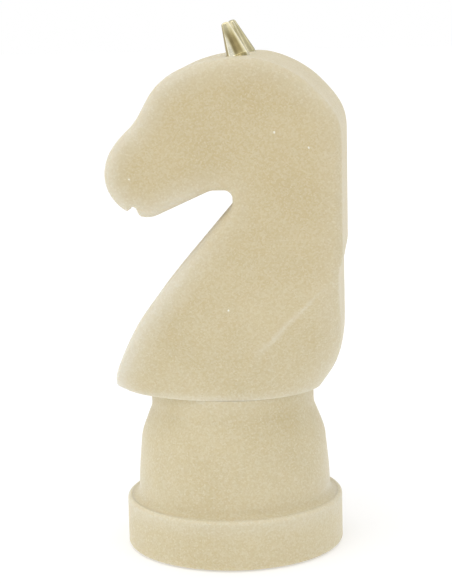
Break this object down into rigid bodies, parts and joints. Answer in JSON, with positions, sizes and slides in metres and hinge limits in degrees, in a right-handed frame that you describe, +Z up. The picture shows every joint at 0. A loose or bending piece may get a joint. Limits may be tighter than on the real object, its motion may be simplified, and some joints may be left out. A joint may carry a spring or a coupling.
{
  "type": "giant chess piece",
  "caption": "Free-standing lawn chess knight: flat-sided horse head in cast stone on a bell stem and round foot, with brass ears.",
  "frame": {"origin": "middle of the resting face, under the base pad", "axes": "+Z up, muzzle towards -X, back of the neck towards +X, flat sides of the head facing -Y and +Y"},
  "size_m": [0.135, 0.13, 0.312],
  "materials": {
    "cast_stone": "matt, fine sandy grain",
    "brass": "polished, slightly aged",
    "brass_insert": "machined",
    "steel": "zinc plated",
    "rubber": "matt",
    "plug_plastic": "matt"
  },
  "bodies": {
    "root": {"foot_plate": "cast_stone", "stem": "cast_stone", "head_block": "cast_stone", "ear_near": "brass", "ear_far": "brass", "ear_stud_near": "steel", "ear_stud_far": "steel", "ear_sleeve_near": "brass_insert", "ear_sleeve_far": "brass_insert", "tie_rod": "steel", "head_anchor": "brass_insert", "tie_washer": "steel", "spring_washer": "steel", "tie_nut": "steel", "head_dowel_front": "steel", "head_dowel_back": "steel", "foot_dowel_front": "steel", "foot_dowel_back": "steel", "head_joint_ring": "rubber", "foot_joint_ring": "rubber", "base_pad": "rubber", "well_plug": "plug_plastic"}
  },
  "joints": []
}
